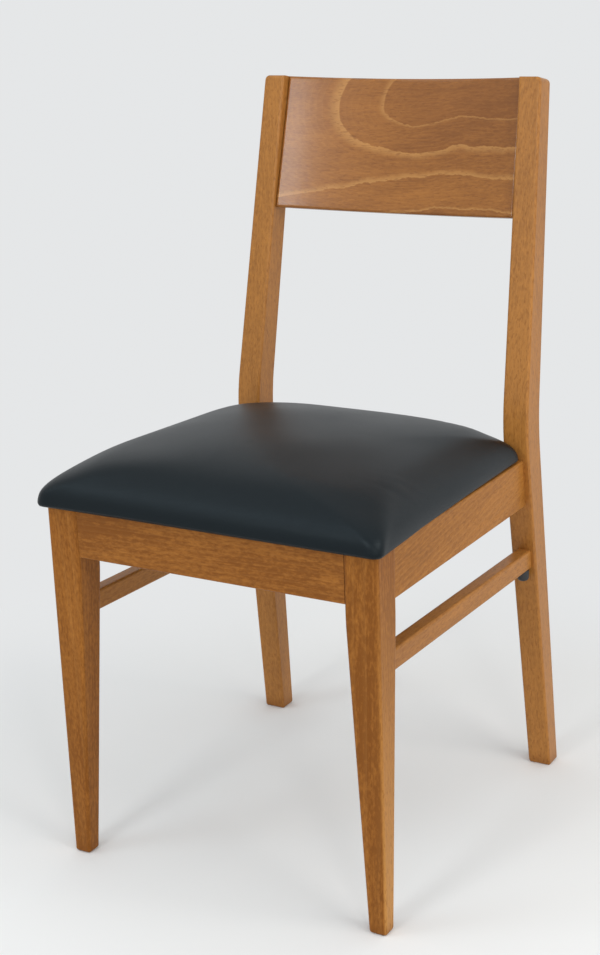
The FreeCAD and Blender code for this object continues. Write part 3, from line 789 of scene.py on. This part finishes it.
def gathers(points, pad):
    """Small folds round the lower corners, where the vinyl is drawn under the board.

    Each fold is a cosine of the turn round the corner's centre, strongest on the corner's bisector and
    at the lower edge.
    """
    middle, half_depth = pad_plan(pad)
    low = 1 - ramp(points[:, 2], *GATHER_FADE)
    moved = points.copy()
    for half, side, end in pad_corners(pad):
        centre = np.array([side * (half - pad.corner), middle + end * (half_depth - pad.corner)])
        away = points[:, :2] - centre
        distance = np.linalg.norm(away, axis=1)
        turn = np.arctan2(away[:, 1] * end, away[:, 0] * side) - math.pi / 4
        strength = np.exp(-(turn / GATHER_SPREAD) ** 2) * low * ramp(distance, *GATHER_REACH)
        depth = GATHER_DEPTH * strength * (0.5 + 0.5 * np.cos(turn * GATHERS))
        moved[:, :2] -= away / np.maximum(distance, GATHER_CLOSEST)[:, None] * depth[:, None]
    return moved


def vinyl(look):
    """Satin black vinyl: an embossed grain of rounded cells between fine valleys that are painted darker as
    painted shade, and slow sheen changes.
    """
    finish = Finish("black_vinyl", specular_ior_level=0.23, specular_tint=(0.80, 0.94, 1.0, 1.0))
    place = finish.place()
    size = 1 / look.grain
    drift = finish.noise(place, (size * 0.4,) * 3, 2.0)
    valley = finish.cells(place, (size,) * 3, "DISTANCE_TO_EDGE").step(0.0, 0.35)
    pebble = finish.noise(place, (size * 2.1,) * 3, 2.0)
    sheen = finish.noise(place, (9, 9, 9), 2.0)
    dark_tone_and_valley_shade = shade(look.colour, 0.55)
    # Painted shade: the grain's valleys are painted darker, and the drift adds a random darker tone
    finish.set("Base Color", finish.blend(valley * 0.75 + drift * 0.25, dark_tone_and_valley_shade, look.colour))
    finish.set("Roughness", look.roughness + (sheen - 0.5) * 0.10 + (1 - valley) * 0.06)
    finish.bump(valley * 0.7 + pebble * 0.3, VINYL_DEPTH, 0.45)
    return finish


class DressSeat(bpy.types.Operator):
    """Upholsters the seat pad: foam pressed against a vinyl cover that is drawn under the board"""

    bl_idname = "chair.dress_seat"
    bl_label = "Upholster the seat"

    def execute(self, context):
        pad = context.scene.chair.pad
        form, faces = closed_rings(pad_form(pad.slack, pad))
        start = seated(form, pad)
        cover = new_piece("vinyl_seat_pad", start, faces)
        swell = inflated(cover, pad) - start
        length = np.linalg.norm(swell, axis=1)
        swell *= (np.minimum(length, pad.most_swell) / np.maximum(length, TINY))[:, None]
        loose = ramp(form[:, 2], *LOOSE_EDGE)
        swell = relaxed(swell, cover.data, np.ones(len(swell)), SWELL_SHARES) * loose[:, None]
        points = relaxed(start + swell, cover.data, ramp(form[:, 2], *SMOOTH_EDGE), FORM_SHARES)
        points = seated(gathers(hung(fitted(unseated(points, pad), pad), pad), pad), pad)
        cover.data.vertices.foreach_set("co", points.astype(np.float32).ravel())
        smooth_faces(cover)
        cover.data.materials.append(vinyl(context.scene.chair.vinyl).material)
        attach(cover, BODY)
        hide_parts("seat_cover", "seat_foam")
        return {"FINISHED"}


# Pieces under the seat and inside the joints

def raw_beech(node, grain, look):
    """Unstained beech with growth lines, fibres and flecks, and no lacquer."""
    finish = Finish("raw_beech_" + node, roughness=0.62)
    wood = heartwood(finish, node, grain, (0.02, 0.05, 0.03))
    streak, fleck = fibres(finish, wood)
    line = growth_lines(finish, wood, look.ring_width)
    base = finish.blend(line * 0.3 + (streak - 0.5) * 0.6 + 0.4, shade(look.raw, 0.72), look.raw)
    finish.set("Base Color", finish.blend(fleck * 0.5, base, shade(look.raw, 0.5)))
    finish.bump(streak, FIBRE_DEPTH, 0.3)
    return finish


def plywood(look, slope):
    """Birch plies: the height across the sloping board sets which ply shows, every second one dark."""
    finish = Finish("birch_plywood", roughness=0.6)
    place = finish.place()
    height = finish.node("ShaderNodeVectorMath", {"operation": "DOT_PRODUCT"},
                         {0: place, 1: (0, math.sin(slope), math.cos(slope))}, "Value")
    ply = (height / PLY_THICKNESS).part().step(0.45, 0.55)
    streak = finish.noise(place, (12, 500, 500), 3.0)
    share = ply * 0.5 + (streak - 0.5) * 0.7 + 0.3
    finish.set("Base Color", finish.blend(share, shade(look.raw, 0.55), look.raw))
    finish.bump(streak, FIBRE_DEPTH, 0.25)
    return finish


def dust_cloth():
    """Black non-woven cloth: crossing fibres and a grid of small pressed dots."""
    finish = Finish("black_dust_cloth", roughness=0.92)
    place = finish.place()
    fibre = finish.noise(place, (900, 240, 240), 3.0).most(finish.noise(place, (240, 900, 240), 3.0))
    dots = finish.cells(place, (420, 420, 20)).step(0.18, 0.34)
    finish.set("Base Color", finish.blend(fibre * dots, (0.010, 0.010, 0.011), (0.040, 0.040, 0.042)))
    finish.bump(fibre + dots, 0.0003, 0.5)
    return finish


class DressUnderside(bpy.types.Operator):
    """Finishes the corner blocks, dowels, seat board and dust cover"""

    bl_idname = "chair.dress_underside"
    bl_label = "Finish the underside"

    def execute(self, context):
        look = context.scene.chair.beech
        grains = {
            "front_rail_dowels": (1, 0, 0),
            "back_rail_dowels": (1, 0, 0),
            "side_rail_dowels": (0, 1, 0),
            "stretcher_dowels": (0, 1, 0),
            "backrest_dowels": (1, 0, 0),
        }
        for side, out in SIDES.items():
            grains["corner_block_front_" + side] = (out, 1, 0)
            grains["corner_block_back_" + side] = (out, -1, 0)
        for node, grain in grains.items():
            raw_beech(node, grain, look).on(node)
        plywood(look, context.scene.chair.pad.slope).on("seat_board")
        dust_cloth().on("dust_cover")
        return {"FINISHED"}


class DressFixings(bpy.types.Operator):
    """Gives the screws and staples their zinc plating"""

    bl_idname = "chair.dress_fixings"
    bl_label = "Plate the fixings"

    def execute(self, context):
        finish = Finish("zinc_plated_steel", metallic=1.0)
        place = finish.place()
        bloom = finish.noise(place, (260, 260, 260), 3.0)
        scratch = finish.noise(place, (1800, 1800, 120), 2.0)
        finish.set("Base Color", finish.blend(bloom, (0.46, 0.45, 0.41), (0.66, 0.66, 0.64)))
        finish.set("Roughness", 0.24 + bloom * 0.22)
        finish.bump(scratch, 0.00005, 0.3)
        finish.on("corner_block_screws", "seat_fixing_screws", "cover_staples")
        return {"FINISHED"}


class DressButtons(bpy.types.Operator):
    """Moulds the stacking buttons in black plastic"""

    bl_idname = "chair.dress_buttons"
    bl_label = "Mould the stacking buttons"

    def execute(self, context):
        finish = Finish("black_plastic")
        place = finish.place()
        spark = finish.noise(place, (2200, 2200, 2200), 2.0)
        rub = finish.noise(place, (160, 160, 160), 3.0)
        finish.set("Base Color", finish.blend(rub, (0.012, 0.012, 0.013), (0.030, 0.030, 0.032)))
        finish.set("Roughness", 0.38 + rub * 0.25)
        finish.bump(spark, 0.00006, 0.4)
        finish.on(*("stacking_button_" + side for side in SIDES))
        return {"FINISHED"}


# Stage

def pale_floor(stage):
    """A flat square floor that takes the chair's shadow and, further out, looks like the room beyond it."""
    corners = np.array([(-1, -1, 0), (1, -1, 0), (1, 1, 0), (-1, 1, 0)]) * STAGE_REACH
    floor = new_piece("floor", corners, [(0, 1, 2, 3)])
    finish = Finish("pale_floor", roughness=0.9, specular_ior_level=0.0, emission_strength=1.0)
    across, dark_tone_and_valley_shade = finish.axes(finish.place())[:2]
    away = ((across * across + dark_tone_and_valley_shade * dark_tone_and_valley_shade) ** 0.5).step(*FLOOR_FADE) * finish.seen()
    finish.set("Base Color", finish.blend(away, stage.floor, BLACK))
    finish.set("Emission Color", finish.blend(away, BLACK, stage.backdrop))
    floor.data.materials.append(finish.material)
    return floor


def pale_room(stage):
    """An even room light that looks like the backdrop."""
    world = bpy.data.worlds.new("even_room")
    world.use_nodes = True
    room = Shading(world.node_tree)
    light = room.tree.nodes["Background"]
    room.feed(light.inputs["Color"], (*stage.backdrop, 1.0))
    room.feed(light.inputs["Strength"], room.seen() * (1.0 - stage.room_light) + stage.room_light)
    return world


def lamp(name, azimuth, elevation, distance, side, watts, tint):
    """A square soft box that looks at the chair from a turn to the right of its front and a rise."""
    light = bpy.data.lights.new(name, "AREA")
    light.shape = "SQUARE"
    light.size = side
    light.energy = watts
    light.color = tint
    turn, rise = math.radians(azimuth), math.radians(elevation)
    level = math.cos(rise)
    way = Vector((math.sin(turn) * level, -math.cos(turn) * level, math.sin(rise)))
    holder = bpy.data.objects.new(name, light)
    holder.location = (CAD_LOW + CAD_HIGH) / 2 + way * distance
    holder.rotation_euler = way.to_track_quat("Z", "Y").to_euler()
    bpy.context.scene.collection.objects.link(holder)


def photo_camera(stage):
    """A camera where the photograph's edges put it: yaw to the left, pitch down and a slight roll."""
    lens = bpy.data.cameras.new("photo_camera")
    lens.sensor_width = 36.0
    lens.lens = stage.focal_pixels * lens.sensor_width / PHOTO_HEIGHT
    lens.shift_x = (PHOTO_WIDTH / 2 - stage.centre_pixels[0]) / PHOTO_HEIGHT
    lens.shift_y = (stage.centre_pixels[1] - PHOTO_HEIGHT / 2) / PHOTO_HEIGHT
    level = math.cos(stage.pitch)
    forward = Vector((-math.sin(stage.yaw) * level, math.cos(stage.yaw) * level, math.sin(stage.pitch)))
    side = Vector((math.cos(stage.yaw), math.sin(stage.yaw), 0))
    rise = side.cross(forward)
    right = side * math.cos(stage.roll) + rise * math.sin(stage.roll)
    up = rise * math.cos(stage.roll) - side * math.sin(stage.roll)
    camera = bpy.data.objects.new("photo_camera", lens)
    camera.matrix_world = Matrix((right, up, -forward)).transposed().to_4x4()
    camera.location = Vector(stage.camera_place) + Vector((0, LEG_FRONT, 0))
    bpy.context.scene.collection.objects.link(camera)
    bpy.context.scene.camera = camera


class SetStage(bpy.types.Operator):
    """Adds the pale floor, the soft boxes, the even room light and the camera"""

    bl_idname = "chair.set_stage"
    bl_label = "Set the stage"

    def execute(self, context):
        stage = context.scene.chair.stage
        pale_floor(stage)
        for values in LAMPS:
            lamp(*values)
        context.scene.world = pale_room(stage)
        context.scene.view_settings.view_transform = "Standard"
        photo_camera(stage)
        return {"FINISHED"}


class ChairPanel(bpy.types.Panel):
    """Lists the steps that dress the chair"""

    bl_idname = "VIEW3D_PT_restaurant_chair"
    bl_label = "Restaurant Chair"
    bl_space_type = "VIEW_3D"
    bl_region_type = "UI"
    bl_category = "Chair"

    def draw(self, context):
        chair = context.scene.chair
        for operator in OPERATORS:
            self.layout.operator(operator.bl_idname)
        for settings in (chair.pad, chair.beech, chair.vinyl, chair.stage):
            box = self.layout.box()
            for name in settings.__annotations__:
                box.prop(settings, name)


OPERATORS = (DressFrame, DressBackrest, DressSeat, DressUnderside, DressFixings, DressButtons, SetStage)
CLASSES = (PadSettings, BeechSettings, VinylSettings, StageSettings, ChairSettings, *OPERATORS, ChairPanel)


def register():
    for made in CLASSES:
        bpy.utils.register_class(made)
    bpy.types.Scene.chair = bpy.props.PointerProperty(type=ChairSettings)


def unregister():
    del bpy.types.Scene.chair
    for made in reversed(CLASSES):
        bpy.utils.unregister_class(made)


def main():
    """Dresses the chair step by step."""
    register()
    bpy.ops.chair.dress_frame()
    bpy.ops.chair.dress_backrest()
    bpy.ops.chair.dress_seat()
    bpy.ops.chair.dress_underside()
    bpy.ops.chair.dress_fixings()
    bpy.ops.chair.dress_buttons()
    bpy.ops.chair.set_stage()


if __name__ == "__main__":
    main()
